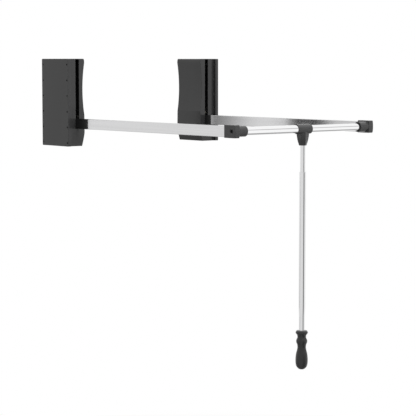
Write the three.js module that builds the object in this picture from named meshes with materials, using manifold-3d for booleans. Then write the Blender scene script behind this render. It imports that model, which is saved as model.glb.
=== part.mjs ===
// Pull down closet rod: two wall housings, two spring balanced arms, a telescopic rod between
// them and a pull pole with a grip. Millimetres, +Z up, +Y towards the back of the closet.
// The origin is where the arm pivot axis meets the left wall. The arms are drawn lowered.
import * as THREE from 'three';
import { mergeVertices } from 'three/addons/utils/BufferGeometryUtils.js';
import Module from 'manifold-3d';

const wasm = await Module();
wasm.setup();

// Overall sizes
const railWidth = 560;
const housingHeight = 250;
const housingDepth = 131;
const pivotSetback = 40;
const pivotRise = 64.7;
const armReach = 716.5;
const armPlane = 39.2;

// Clearances and counts of facets
const seatGap = 0.3;
const runGap = 0.5;
const cutOverrun = 1;
const roundSides = 24;
const pinSides = 16;
const holeSides = 8;
const curveSteps = 5;

// Wall plate
const plateThickness = 11;
const plateFloor = 4;
const plateCorner = 3;
const holeRows = 6;
const holeDiameter = 4.6;
const holeTopMargin = 16.8;
const holeBottomMargin = 10.2;
const holeFrontMargin = 4.7;
const holeBackMargin = 5.5;
const pocketLedge = 1.5;

// Cover, measured out from the wall
const coverPastArm = 25.3;
const coverWall = 2.5;
const coverFrontInset = 9.4;
const coverBackInset = 10;
const coverEdgeRound = 1.5;
const waistDepth = 6.7;
const waistTopMargin = 12;
const waistFootMargin = 85.7;
const topShoulder = 4;
const taperRise = 41;
const taperBend = 9;
const taperDepth = 9.2;
const slotGap = 0.5;
const slotFootGap = 0.7;
const slotBackGap = 2;

// Arm bar and the lever at its root
const barHeight = 29.1;
const barThickness = 9;
const barWall = 1.5;
const barCorner = 1.2;
const cheekThickness = 1.2;
const cheekReachWall = 86;
const cheekReachInner = 55.7;
const leverShoulder = 22;
const tongueLength = 38;
const crankRadius = 25;
const crankAngle = Math.PI / 4;
const crankEyeRadius = 8;
const crankPinDiameter = 8;
const crankSpigotDiameter = 5;
const rivetDiameter = 4.4;
const rivetSetback = 7;
const rivetSpread = 14;

// Pivot
const pivotDiameter = 9;
const pivotHeadDiameter = 15;
const pivotHeadThickness = 2;
const bushWall = 1.8;
const bushFlangeDiameter = 18;
const spacerDiameter = 14;
const clipThickness = 1;
const clipDiameter = 15;
const clipMouth = 5;

// Chassis, pressed from sheet steel
const sheet = 2;
const tabSheet = 3;
const chassisFrontGap = 4.6;
const chassisBackGap = 5;
const chassisTopDrop = 9.3;
const chassisFootRise = 10.7;
const springTabDrop = 14.3;
const webRise = 14.7;
const cheekGap = 3.6;
const cheekFrontGap = 1.1;
const cheekTop = 22;
const towerTop = 78;
const towerFront = 12;
const towerBack = 30;
const stopTabLength = 16;
const stopTabHeight = 18;
const lowBumperHeight = 6;
const highBumperHeight = 6;
const highStopRise = 66;
const bumperMargin = 2;
const screwHeadDiameter = 8;
const screwHeadThickness = 2;
const screwDiameter = 4;
const screwLengthInPlate = 3;
const screwTopMargin = 45.3;
const screwFootMargin = 34.7;
const screwBackMargin = 6;

// Spring carriage, guide, spring and damper
const carriageFront = 9.5;
const carriageBackMargin = 10;
const carriageHalfHeight = 9;
const carriageWallGap = 2.3;
const carriageArmGap = 1.8;
const yokeSlack = 1.1;
const yokeEndSlack = 0.6;
const guideShare = 0.5;
const guideDiameter = 8;
const guideStub = 2;
const springOuterDiameter = 21.2;
const springWire = 2.8;
const springTurns = 11;
const springSteps = 8;
const springSides = 5;
const damperSpringGap = 6.2;
const damperDiameter = 14;
const damperLength = 80;
const damperEngagement = 15;
const damperRodDiameter = 5;
const damperFootDiameter = 10;
const damperFootThickness = 2;
const damperCapThickness = 6;

// End block that joins the bar to the rod
const blockThickness = 16;
const blockHeight = 33.4;
const blockRise = 0.6;
const blockBack = 28.5;
const blockFront = 13.6;
const blockNose = 1.9;
const noseShoulderShare = 0.25;
const blockCorner = 2;
const socketWall = 2.7;
const socketLength = 29;
const socketFloor = 6;
const barTubeGap = 2.5;
const blockScrewHead = 9;
const blockScrewHeadThickness = 2.7;
const blockScrewRecess = 5.5;
const blockScrewReach = 12;
const crossWidth = 1.4;
const crossLength = 5.4;
const crossDepth = 1.2;
const plugLength = 20;

// Telescopic rod
const outerTubeDiameter = 22;
const tubeWall = 1.1;
const outerTubePastMiddle = 12;
const innerTubeOverlap = 112;
const endBushLength = 4;

// Tee and pull pole, measured down from the rod axis
const teeCollarWall = 1.7;
const teeCollarLength = 49.4;
const teeStemDrop = 43.4;
const teeStemWidth = 34;
const teeStemDepth = 21.5;
const teeStemSide = 14.8;
const teeFootWidth = 19.4;
const teeFootSide = 10.6;
const teeFootRound = 3;
const teeFootInset = 1.2;
const teeSocketRoof = 3.4;
const poleRodDiameter = 14.2;
const poleRodInTube = 46;
const poleTubeDrop = 113.6;
const poleTubeWall = 1.7;
const poleFootInset = 1.1;
const poleFootLength = 36.4;
const poleTaperLength = 29;
const gripDrop = 537.4;
const gripLength = 105;
const gripDiameter = 33;
const gripSocketDepth = 25;

// Grip outline, as shares of its length below the top and of its greatest diameter
const gripOutlineShares = [
  [0, 0.84], [0.02, 0.93], [0.05, 1], [0.08, 0.9], [0.11, 0.76], [0.15, 0.7], [0.185, 0.72],
  [0.235, 0.87], [0.275, 0.9], [0.31, 0.86], [0.36, 0.73], [0.43, 0.69], [0.5, 0.76], [0.57, 0.88],
  [0.65, 0.96], [0.74, 1], [0.83, 0.98], [0.89, 0.91], [0.93, 0.79], [0.965, 0.6], [0.988, 0.37],
];
// Sides of the tee's stem, as shares of the way down and of the way in from stem to foot
const stemOutlineShares = [[0, 0], [0.35, 0.12], [0.65, 0.36], [0.9, 0.76], [1, 1]];

// Places worked out from the sizes above
const bottom = -pivotRise;
const top = bottom + housingHeight;
const front = -pivotSetback;
const back = front + housingDepth;
const halfBar = barHeight / 2;
const leverHalf = barThickness / 2 + cheekThickness;
const leverLow = armPlane - leverHalf;
const leverHigh = armPlane + leverHalf;
const barRoot = -leverShoulder - seatGap;
const barTip = -(armReach - outerTubeDiameter / 2 - barTubeGap);
const crankY = crankRadius * Math.cos(crankAngle);
const crankZ = crankRadius * Math.sin(crankAngle);
const crankTravel = 2 * crankZ;
const pocketMargin = coverWall + pocketLedge;
const pocketFront = front + coverFrontInset + pocketMargin;
const pocketBack = back - coverBackInset - pocketMargin;
const chassisFront = pocketFront + chassisFrontGap;
const chassisBack = pocketBack - chassisBackGap;
const chassisFace = plateFloor + sheet;
const cheekSetout = leverHigh + cheekGap;
const coverReach = armPlane + coverPastArm;
const cheekFront = front + coverFrontInset + coverWall + cheekFrontGap;
const screwSetback = chassisBack - screwBackMargin;
const screwHeights = [top - screwTopMargin, bottom + screwFootMargin];
const springTabLow = top - springTabDrop - tabSheet;
const webTop = bottom + webRise + tabSheet;
const carriageLow = chassisFace + carriageWallGap;
const carriageHigh = leverLow - carriageArmGap;
const carriageCentre = (carriageLow + carriageHigh) / 2;
const carriageTop = crankZ + carriageHalfHeight;
const carriageBack = chassisBack - carriageBackMargin;
const yokeBack = crankRadius + crankPinDiameter / 2 + yokeEndSlack;
const guideSetback = yokeBack + (carriageBack - yokeBack) * guideShare;
const damperSetback = guideSetback - springOuterDiameter / 2 - damperSpringGap - damperDiameter / 2;
const socketEnd = armPlane + blockThickness / 2 + socketLength;
const blockWallFace = armPlane - blockThickness / 2;
const socketFloorX = blockWallFace + blockScrewRecess + socketFloor;
const tubeStart = socketFloorX + seatGap;
const middle = railWidth / 2;
const innerTubeDiameter = outerTubeDiameter - 2 * (tubeWall + seatGap);
const socketDiameter = outerTubeDiameter + 2 * (seatGap + socketWall);
const teeCollarDiameter = outerTubeDiameter + 2 * (seatGap + teeCollarWall);
const poleSocketTop = -(teeCollarDiameter / 2 + teeSocketRoof);
const poleTubeDiameter = poleRodDiameter + 2 * (seatGap + poleTubeWall);
const poleFootDiameter = poleTubeDiameter - 2 * poleFootInset;
const poleTaperEnd = -gripDrop + poleFootLength;

const finishes = {
  blackPlastic: { color: 0x2e2e2e, roughness: 0.42, metalness: 0 },
  blackSteel: { color: 0x1d1d1d, roughness: 0.5, metalness: 0.3 },
  aluminium: { color: 0xd0d0d0, roughness: 0.35, metalness: 1 },
  chrome: { color: 0xe6e6e6, roughness: 0.08, metalness: 1 },
  steel: { color: 0xb4b6b8, roughness: 0.35, metalness: 1 },
  rubber: { color: 0x191919, roughness: 0.9, metalness: 0 },
  bushPlastic: { color: 0xd8d4c8, roughness: 0.5, metalness: 0 },
};

// Turns a closed three.js geometry into a solid that can be joined and cut
function solid(geometry) {
  const bare = geometry.index ? geometry.toNonIndexed() : geometry.clone();
  for (const name of Object.keys(bare.attributes)) {
    if (name !== 'position') bare.deleteAttribute(name);
  }
  const merged = mergeVertices(bare);
  const faces = [];
  for (let at = 0; at < merged.index.count; at += 3) {
    const [a, b, c] = merged.index.array.slice(at, at + 3);
    if (a !== b && b !== c && c !== a) faces.push(a, b, c);
  }
  const mesh = new wasm.Mesh({
    numProp: 3,
    vertProperties: new Float32Array(merged.attributes.position.array),
    triVerts: new Uint32Array(faces),
  });
  return new wasm.Manifold(mesh);
}

// Turns a solid back into a three.js geometry
function geometryOf(body) {
  const mesh = body.getMesh();
  const geometry = new THREE.BufferGeometry();
  geometry.setAttribute('position', new THREE.BufferAttribute(mesh.vertProperties, mesh.numProp));
  geometry.setIndex(new THREE.BufferAttribute(mesh.triVerts, 1));
  return geometry;
}

function box(low, high) {
  const size = low.map((value, axis) => high[axis] - value);
  const geometry = new THREE.BoxGeometry(...size);
  return solid(geometry.translate(...low.map((value, axis) => value + size[axis] / 2)));
}

// A round bar along x or z, at the two other coordinates in their usual order
function bar(axis, diameter, from, to, first, second, sides = pinSides) {
  const geometry = new THREE.CylinderGeometry(diameter / 2, diameter / 2, to - from, sides);
  const centre = (from + to) / 2;
  if (axis === 'x') geometry.rotateZ(-Math.PI / 2).translate(centre, first, second);
  if (axis === 'z') geometry.rotateX(Math.PI / 2).translate(first, second, centre);
  return solid(geometry);
}

// A shape drawn in y and z, pulled along x
function pullX(shape, from, to) {
  const options = { depth: to - from, bevelEnabled: false, curveSegments: curveSteps };
  const turn = new THREE.Matrix4().makeBasis(
    new THREE.Vector3(0, 1, 0), new THREE.Vector3(0, 0, 1), new THREE.Vector3(1, 0, 0));
  return new THREE.ExtrudeGeometry(shape, options).applyMatrix4(turn).translate(from, 0, 0);
}

// A shape drawn in x and z, pulled along y. With a rounding, the middle stands out from the
// drawn shape by that much and the two ends are rounded down to it.
function pullY(shape, from, to, round) {
  const options = {
    depth: to - from - 2 * round, curveSegments: curveSteps, bevelEnabled: round > 0,
    bevelThickness: round, bevelSize: round, bevelSegments: 3,
  };
  const turn = new THREE.Matrix4().makeBasis(
    new THREE.Vector3(1, 0, 0), new THREE.Vector3(0, 0, 1), new THREE.Vector3(0, -1, 0));
  const geometry = new THREE.ExtrudeGeometry(shape, options).applyMatrix4(turn);
  return geometry.translate(0, to - round, 0);
}

// A rectangle with round corners
function roundedRectangle(x0, y0, x1, y1, corner) {
  const shape = new THREE.Shape();
  shape.moveTo(x0 + corner, y0);
  shape.absarc(x1 - corner, y0 + corner, corner, -Math.PI / 2, 0);
  shape.absarc(x1 - corner, y1 - corner, corner, 0, Math.PI / 2);
  shape.absarc(x0 + corner, y1 - corner, corner, Math.PI / 2, Math.PI);
  shape.absarc(x0 + corner, y0 + corner, corner, Math.PI, 1.5 * Math.PI);
  return shape;
}

// A profile of [radius, height] points spun round the z axis
function spun(points, sides = roundSides) {
  const profile = points.map(([radius, height]) => new THREE.Vector2(radius, height));
  return new THREE.LatheGeometry(profile, sides).rotateX(Math.PI / 2);
}

// The same, with heights measured along x
function spunX(points, y, z, sides = roundSides) {
  return spun(points, sides).rotateY(Math.PI / 2).translate(0, y, z);
}

// A ring between two radii, from one height to another, as a profile to spin
function ringProfile(inner, outer, from, to) {
  return [[inner, from], [outer, from], [outer, to], [inner, to], [inner, from]];
}

// The base moulding that is screwed to the wall, with a pocket for the chassis
function wallPlate() {
  const outline = roundedRectangle(front, bottom, back, top, plateCorner);
  let body = solid(pullX(outline, 0, plateThickness));
  body = body.subtract(box([plateFloor, pocketFront, bottom + pocketMargin],
    [plateThickness + cutOverrun, pocketBack, top - pocketMargin]));
  const pitch = (housingHeight - holeTopMargin - holeBottomMargin) / (holeRows - 1);
  for (const y of [front + holeFrontMargin, back - holeBackMargin]) {
    for (let row = 0; row < holeRows; row += 1) {
      const z = top - holeTopMargin - row * pitch;
      const reach = plateThickness + cutOverrun;
      body = body.subtract(bar('x', holeDiameter, -cutOverrun, reach, y, z, holeSides));
    }
  }
  const pilot = screwDiameter + 2 * seatGap;
  for (const z of screwHeights) {
    const floor = plateFloor - screwLengthInPlate - seatGap;
    body = body.subtract(bar('x', pilot, floor, plateFloor + cutOverrun, screwSetback, z));
  }
  return geometryOf(body);
}

// The waisted outline of the cover in x and z, drawn in by an inset
function coverOutline(inset, footX) {
  const reach = coverReach - inset;
  const high = top - inset;
  const low = bottom + inset;
  const halfSpan = (housingHeight - waistTopMargin - waistFootMargin) / 2;
  const radius = (halfSpan ** 2 + waistDepth ** 2) / (2 * waistDepth);
  const half = Math.asin(halfSpan / radius);
  const centreZ = top - waistTopMargin - halfSpan;
  const centreX = reach - waistDepth + radius;
  const shape = new THREE.Shape();
  shape.moveTo(footX, low);
  shape.lineTo(reach - taperDepth, low);
  shape.quadraticCurveTo(reach, bottom + taperRise - taperBend, reach, bottom + taperRise);
  shape.absarc(centreX, centreZ, radius, Math.PI + half, Math.PI - half, true);
  shape.quadraticCurveTo(reach, high, reach - topShoulder, high);
  shape.lineTo(footX, high);
  return shape;
}

// The moulded cover, open to the wall plate, with the slot that the arm swings through
function cover() {
  const low = front + coverFrontInset;
  const high = back - coverBackInset;
  const footX = plateThickness - cutOverrun;
  let body = solid(pullY(coverOutline(coverEdgeRound, footX), low, high, coverEdgeRound));
  body = body.subtract(box(
    [footX - coverEdgeRound - cutOverrun, low - cutOverrun, bottom - cutOverrun],
    [plateThickness, high + cutOverrun, top + cutOverrun]));
  const hollow = coverOutline(coverWall, footX);
  body = body.subtract(solid(pullY(hollow, low + coverWall, high - coverWall, 0)));
  body = body.subtract(box(
    [leverLow - slotGap, low - cutOverrun, -halfBar - slotFootGap],
    [leverHigh + slotGap, halfBar + slotBackGap, top + cutOverrun]));
  return geometryOf(body);
}

// The sheet steel chassis: base, spring tab, foot web, inner cheek and the two stop tabs
function chassis() {
  const chassisTop = top - chassisTopDrop;
  const chassisFoot = bottom + chassisFootRise;
  const tabInner = leverLow - runGap;
  const cheekLow = cheekSetout;
  const cheekHigh = cheekSetout + sheet;
  const tabLow = armPlane - barThickness / 2;
  let body = box([plateFloor, chassisFront, chassisFoot], [chassisFace, chassisBack, chassisTop]);
  body = body.add(box([plateFloor, carriageFront, springTabLow],
    [tabInner, carriageBack, springTabLow + tabSheet]));
  body = body.add(box([plateFloor, carriageFront, webTop - tabSheet],
    [cheekHigh, carriageBack, webTop]));
  body = body.add(box([cheekLow, cheekFront, webTop - tabSheet],
    [cheekHigh, carriageBack, cheekTop]));
  body = body.add(box([cheekLow, towerFront, cheekTop - sheet], [cheekHigh, towerBack, towerTop]));
  const lowFace = -halfBar - seatGap - lowBumperHeight;
  body = body.add(box([tabLow, cheekFront, lowFace - tabSheet],
    [cheekHigh, cheekFront + stopTabLength, lowFace]));
  const highFace = halfBar + seatGap + highBumperHeight;
  body = body.add(box([tabLow, highFace, highStopRise - stopTabHeight / 2],
    [cheekHigh, highFace + tabSheet, highStopRise + stopTabHeight / 2]));
  const bore = pivotDiameter + 2 * seatGap;
  body = body.subtract(bar('x', bore, 0, cheekHigh + cutOverrun, 0, 0));
  const guideBore = guideDiameter + 2 * seatGap;
  body = body.subtract(bar('z', guideBore, bottom, top, carriageCentre, guideSetback));
  for (const z of screwHeights) {
    const hole = screwDiameter + 2 * seatGap;
    body = body.subtract(bar('x', hole, 0, chassisFace + cutOverrun, screwSetback, z));
  }
  return geometryOf(body);
}

// A pan head screw that holds the chassis in the pocket of the plate
function chassisScrew(z) {
  const tip = plateFloor - screwLengthInPlate;
  const headTop = chassisFace + screwHeadThickness;
  const profile = [[0, tip], [screwDiameter / 2, tip], [screwDiameter / 2, chassisFace],
    [screwHeadDiameter / 2, chassisFace], [screwHeadDiameter / 2, headTop], [0, headTop]];
  return spunX(profile, screwSetback, z, pinSides);
}

// The headed pin that the arm turns on, through both walls of the chassis
function pivotPin() {
  const start = plateFloor + seatGap;
  const neck = cheekSetout + sheet;
  const end = neck + pivotHeadThickness;
  const shank = pivotDiameter / 2;
  const head = pivotHeadDiameter / 2;
  return spunX([[0, start], [shank, start], [shank, neck], [head, neck], [head, end], [0, end]],
    0, 0, pinSides);
}

// The open ring that keeps the pin in the chassis
function pivotClip() {
  const start = chassisFace + seatGap;
  const end = start + clipThickness;
  const profile = ringProfile(pivotDiameter / 2 + seatGap, clipDiameter / 2, start, end);
  const mouth = box([start - cutOverrun, -clipMouth / 2, -clipDiameter],
    [end + cutOverrun, clipMouth / 2, 0]);
  return geometryOf(solid(spunX(profile, 0, 0, pinSides)).subtract(mouth));
}

// The sleeve that keeps the arm clear of the chassis base
function pivotSpacer() {
  const start = chassisFace + seatGap + clipThickness + seatGap;
  const profile = ringProfile(pivotDiameter / 2 + seatGap, spacerDiameter / 2, start,
    leverLow - seatGap);
  return spunX(profile, 0, 0, pinSides);
}

// The flanged plastic bush pressed into the lever
function pivotBush() {
  const inner = pivotDiameter / 2 + seatGap;
  const outer = inner + bushWall;
  const flange = bushFlangeDiameter / 2;
  const shoulder = leverHigh + seatGap;
  const end = cheekSetout - seatGap;
  return spunX([[inner, leverLow], [outer, leverLow], [outer, shoulder], [flange, shoulder],
    [flange, end], [inner, end], [inner, leverLow]], 0, 0, pinSides);
}

// Boss and crank arm of the lever, drawn in y and z
function crankOutline() {
  const lean = Math.PI / 2 - Math.asin((halfBar - crankEyeRadius) / crankRadius);
  const shape = new THREE.Shape();
  const [from, to] = [crankAngle - lean, crankAngle + lean];
  shape.absarc(crankY, crankZ, crankEyeRadius, from, to);
  shape.absarc(0, 0, halfBar, to, from + 2 * Math.PI);
  return shape;
}

// The black lever at the root of the bar: boss, crank, tongue and two cheeks of unlike length
function armLever() {
  let body = solid(pullX(crankOutline(), leverLow, leverHigh));
  body = body.add(box([leverLow, -leverShoulder, -halfBar], [leverHigh, 0, halfBar]));
  const cheekRoot = -leverShoulder + cutOverrun;
  body = body.add(box([leverLow, -cheekReachWall, -halfBar],
    [leverLow + cheekThickness - seatGap, cheekRoot, halfBar]));
  body = body.add(box([leverHigh - cheekThickness + seatGap, -cheekReachInner, -halfBar],
    [leverHigh, cheekRoot, halfBar]));
  const tongueHalf = barThickness / 2 - barWall - seatGap;
  const tongueHigh = halfBar - barWall - seatGap;
  body = body.add(box([armPlane - tongueHalf, -leverShoulder - tongueLength, -tongueHigh],
    [armPlane + tongueHalf, cheekRoot, tongueHigh]));
  const bore = pivotDiameter + 2 * (2 * seatGap + bushWall);
  body = body.subtract(bar('x', bore, leverLow - cutOverrun, leverHigh + cutOverrun, 0, 0));
  const spigotBore = crankSpigotDiameter + 2 * seatGap;
  body = body.subtract(bar('x', spigotBore, leverLow - cutOverrun, leverHigh + cutOverrun,
    crankY, crankZ));
  for (const side of [-1, 1]) {
    body = body.subtract(bar('x', rivetDiameter + 2 * seatGap, leverLow - cutOverrun,
      leverHigh + cutOverrun, barRoot - rivetSetback, side * rivetSpread / 2));
  }
  return geometryOf(body);
}

// The hollow aluminium bar
function armBar() {
  const outline = roundedRectangle(armPlane - barThickness / 2, -halfBar,
    armPlane + barThickness / 2, halfBar, barCorner);
  outline.holes.push(roundedRectangle(armPlane - barThickness / 2 + barWall, -halfBar + barWall,
    armPlane + barThickness / 2 - barWall, halfBar - barWall, barCorner / 2));
  let body = solid(pullY(outline, barTip, barRoot, 0));
  for (const side of [-1, 1]) {
    body = body.subtract(bar('x', rivetDiameter + 2 * seatGap, leverLow - cutOverrun,
      leverHigh + cutOverrun, barRoot - rivetSetback, side * rivetSpread / 2));
  }
  return geometryOf(body);
}

// A flush rivet through cheeks, bar and tongue
function rivet(side) {
  return geometryOf(bar('x', rivetDiameter, leverLow + seatGap, leverHigh - seatGap,
    barRoot - rivetSetback, side * rivetSpread / 2));
}

// The stepped pin that drives the spring carriage
function crankPin() {
  const step = leverLow - seatGap;
  const end = leverHigh - seatGap;
  const large = crankPinDiameter / 2;
  const small = crankSpigotDiameter / 2;
  return spunX([[0, carriageLow], [large, carriageLow], [large, step], [small, step], [small, end],
    [0, end]], crankY, crankZ, pinSides);
}

// The carriage that slides on the guide: a yoke for the crank pin and a seat for the spring
function carriage() {
  let body = box([carriageLow, carriageFront, crankZ - carriageHalfHeight],
    [carriageHigh, carriageBack, carriageTop]);
  const reach = crankPinDiameter / 2;
  body = body.subtract(box(
    [carriageLow - cutOverrun, crankY - reach - yokeEndSlack, crankZ - reach - yokeSlack],
    [carriageHigh + cutOverrun, yokeBack, crankZ + reach + yokeSlack]));
  body = body.subtract(bar('z', guideDiameter + 2 * seatGap, crankZ - 2 * carriageHalfHeight,
    crankZ + 2 * carriageHalfHeight, carriageCentre, guideSetback));
  return geometryOf(body);
}

// The steel rod that the carriage slides on
function guideRod() {
  const low = webTop - tabSheet - guideStub;
  const high = springTabLow + tabSheet + guideStub;
  return geometryOf(bar('z', guideDiameter, low, high, carriageCentre, guideSetback));
}

// The compression spring between the carriage and the spring tab, one unbroken wire
function liftSpring() {
  const wire = springWire / 2;
  const radius = springOuterDiameter / 2 - wire;
  const low = carriageTop + seatGap + wire;
  const high = springTabLow - seatGap - wire;
  const steps = springTurns * springSteps;
  const points = [];
  for (let step = 0; step <= steps; step += 1) {
    const turn = (step / springSteps) * 2 * Math.PI;
    const centreZ = low + (high - low) * step / steps;
    for (let side = 0; side < springSides; side += 1) {
      const around = (side / springSides) * 2 * Math.PI;
      const out = radius + wire * Math.cos(around);
      points.push(carriageCentre + out * Math.cos(turn), guideSetback + out * Math.sin(turn),
        centreZ + wire * Math.sin(around));
    }
  }
  const faces = [];
  const at = (step, side) => step * springSides + side % springSides;
  for (let step = 0; step < steps; step += 1) {
    for (let side = 0; side < springSides; side += 1) {
      faces.push(at(step, side), at(step + 1, side + 1), at(step, side + 1));
      faces.push(at(step, side), at(step + 1, side), at(step + 1, side + 1));
    }
  }
  for (let side = 1; side < springSides - 1; side += 1) {
    faces.push(at(0, 0), at(0, side), at(0, side + 1));
    faces.push(at(steps, 0), at(steps, side + 1), at(steps, side));
  }
  const geometry = new THREE.BufferGeometry();
  geometry.setAttribute('position', new THREE.Float32BufferAttribute(points, 3));
  geometry.setIndex(faces);
  return geometry;
}

// The damper body that hangs from the spring tab, bored for its rod
function damperBody() {
  const low = springTabLow - damperLength;
  const bore = damperRodDiameter / 2 + runGap;
  const outer = damperDiameter / 2;
  const roof = springTabLow - damperCapThickness;
  return spun([[0, roof], [bore, roof], [bore, low], [outer, low], [outer, springTabLow],
    [0, springTabLow]], pinSides).translate(carriageCentre, damperSetback, 0);
}

// The damper rod with the foot that rests on the carriage
function damperRod() {
  const tip = springTabLow - damperLength + crankTravel + damperEngagement;
  const footTop = carriageTop + damperFootThickness;
  const thin = damperRodDiameter / 2;
  const foot = damperFootDiameter / 2;
  return spun([[0, carriageTop], [foot, carriageTop], [foot, footTop], [thin, footTop],
    [thin, tip], [0, tip]], pinSides).translate(carriageCentre, damperSetback, 0);
}

// The rubber pad that the lowered arm rests on
function lowBumper() {
  const half = barThickness / 2;
  const high = -halfBar - seatGap;
  return geometryOf(box(
    [armPlane - half, cheekFront + bumperMargin, high - lowBumperHeight],
    [armPlane + half, cheekFront + stopTabLength - bumperMargin, high]));
}

// The rubber pad that the raised arm meets
function highBumper() {
  const half = barThickness / 2;
  const low = halfBar + seatGap;
  const reach = stopTabHeight / 2 - bumperMargin;
  return geometryOf(box([armPlane - half, low, highStopRise - reach],
    [armPlane + half, low + highBumperHeight, highStopRise + reach]));
}

// Outline of the end block in y and z, with its bulging nose
function blockOutline() {
  const backY = -armReach + blockBack;
  const frontY = -armReach - blockFront;
  const low = blockRise - blockHeight / 2;
  const high = blockRise + blockHeight / 2;
  const shoulderY = frontY - noseShoulderShare * blockNose;
  const bulgeY = 2 * (frontY - blockNose) - shoulderY;
  const shape = new THREE.Shape();
  shape.moveTo(backY, low);
  shape.lineTo(backY, high);
  shape.lineTo(frontY + blockCorner, high);
  shape.quadraticCurveTo(frontY, high, shoulderY, high - blockCorner);
  shape.quadraticCurveTo(bulgeY, blockRise, shoulderY, low + blockCorner);
  shape.quadraticCurveTo(frontY, low, frontY + blockCorner, low);
  return shape;
}

// The moulded block at the end of an arm, with the socket for its tube
function endBlock(tubeDiameter) {
  const innerFace = armPlane + blockThickness / 2;
  let body = solid(pullX(blockOutline(), blockWallFace, innerFace));
  body = body.add(bar('x', socketDiameter, innerFace - cutOverrun, socketEnd, -armReach,
    blockRise, roundSides));
  const bore = tubeDiameter + 2 * seatGap;
  body = body.subtract(bar('x', bore, socketFloorX, socketEnd + cutOverrun, -armReach,
    blockRise, roundSides));
  const mouth = outerTubeDiameter + 2 * seatGap;
  const mouthDepth = mouth - innerTubeDiameter;
  body = body.subtract(bar('x', mouth, socketEnd - mouthDepth, socketEnd + cutOverrun, -armReach,
    blockRise, roundSides));
  body = body.subtract(box(
    [armPlane - barThickness / 2 - seatGap, barTip - seatGap, -halfBar - seatGap],
    [armPlane + barThickness / 2 + seatGap, -armReach + blockBack + cutOverrun,
      halfBar + seatGap]));
  const recess = blockScrewHead + 2 * seatGap;
  body = body.subtract(bar('x', recess, blockWallFace - cutOverrun,
    blockWallFace + blockScrewRecess, -armReach, blockRise));
  body = body.subtract(bar('x', screwDiameter + 2 * seatGap, blockWallFace, tubeStart,
    -armReach, blockRise));
  return geometryOf(body);
}

// The cross recessed screw that holds the tube in its socket
function blockScrew() {
  const floor = blockWallFace + blockScrewRecess;
  const face = floor - blockScrewHeadThickness;
  const tip = tubeStart + blockScrewReach;
  const head = blockScrewHead / 2;
  const shank = screwDiameter / 2;
  let body = solid(spunX([[0, face], [head, face], [head, floor], [shank, floor], [shank, tip],
    [0, tip]], -armReach, blockRise, pinSides));
  for (const [halfY, halfZ] of [[crossWidth / 2, crossLength / 2], [crossLength / 2, crossWidth / 2]]) {
    body = body.subtract(box([face - cutOverrun, -armReach - halfY, blockRise - halfZ],
      [face + crossDepth, -armReach + halfY, blockRise + halfZ]));
  }
  return geometryOf(body);
}

// The plug in the end of a tube that the block screw bites into
function tubePlug(tubeDiameter) {
  const outer = tubeDiameter / 2 - tubeWall - seatGap;
  const bore = screwDiameter / 2 + seatGap;
  const end = tubeStart + plugLength;
  const floor = tubeStart + blockScrewReach + seatGap;
  return spunX([[bore, tubeStart], [outer, tubeStart], [outer, end], [0, end], [0, floor],
    [bore, floor], [bore, tubeStart]], -armReach, blockRise, pinSides);
}

// A tube along x, centred on the rod axis of its own group
function tube(diameter, from, to) {
  return spunX(ringProfile(diameter / 2 - tubeWall, diameter / 2, from, to), 0, 0);
}

// The ring that finishes the inner end of the outer tube
function endBush() {
  const start = middle + outerTubePastMiddle + seatGap;
  return spunX(ringProfile(innerTubeDiameter / 2 + seatGap, outerTubeDiameter / 2, start,
    start + endBushLength), 0, 0);
}

// One level of the tee's stem: six corners, two of them the front and back ridges
function stemLevel(width, side, depth, z) {
  const corners = [];
  for (const end of [-1, 1]) {
    corners.push([middle, end * depth / 2, z]);
    corners.push([middle - width / 2, end * side / 2, z], [middle + width / 2, end * side / 2, z]);
  }
  return corners;
}

// The moulded tee: a collar round the rod and a ridged, tapered stem for the pole
function tee() {
  const half = teeCollarLength / 2;
  const corners = [];
  for (const [down, inward] of stemOutlineShares) {
    corners.push(...stemLevel(teeStemWidth + (teeFootWidth - teeStemWidth) * inward,
      teeStemSide + (teeFootSide - teeStemSide) * inward, teeStemDepth,
      -down * (teeStemDrop - teeFootRound)));
  }
  corners.push(...stemLevel(teeFootWidth - 2 * teeFootInset, teeFootSide - 2 * teeFootInset,
    teeStemDepth - 2 * teeFootInset, -teeStemDrop));
  let body = wasm.Manifold.hull(corners);
  body = body.add(bar('x', teeCollarDiameter, middle - half, middle + half, 0, 0, roundSides));
  const stepX = middle + outerTubePastMiddle + endBushLength + 2 * seatGap;
  body = body.subtract(bar('x', outerTubeDiameter + 2 * seatGap, middle - half - cutOverrun,
    stepX, 0, 0, roundSides));
  body = body.subtract(bar('x', innerTubeDiameter + 2 * seatGap, middle,
    middle + half + cutOverrun, 0, 0, roundSides));
  body = body.subtract(bar('z', poleRodDiameter + 2 * seatGap, -teeStemDrop - cutOverrun,
    poleSocketTop, middle, 0));
  return geometryOf(body);
}

// The thin upper rod of the pole
function poleRod() {
  const low = -poleTubeDrop - poleRodInTube;
  return geometryOf(bar('z', poleRodDiameter, low, poleSocketTop - seatGap, middle, 0,
    roundSides));
}

// The main tube of the pole, drawn in at its foot
function poleTube() {
  const large = poleTubeDiameter / 2;
  const small = poleFootDiameter / 2;
  const taperTop = poleTaperEnd + poleTaperLength;
  const low = -gripDrop - gripSocketDepth + seatGap;
  const bore = poleRodDiameter / 2 + seatGap;
  const narrow = small - poleTubeWall;
  return spun([[bore, -poleTubeDrop], [bore, taperTop], [narrow, poleTaperEnd], [narrow, low],
    [small, low], [small, poleTaperEnd], [large, taperTop], [large, -poleTubeDrop],
    [bore, -poleTubeDrop]]).translate(middle, 0, 0);
}

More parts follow.
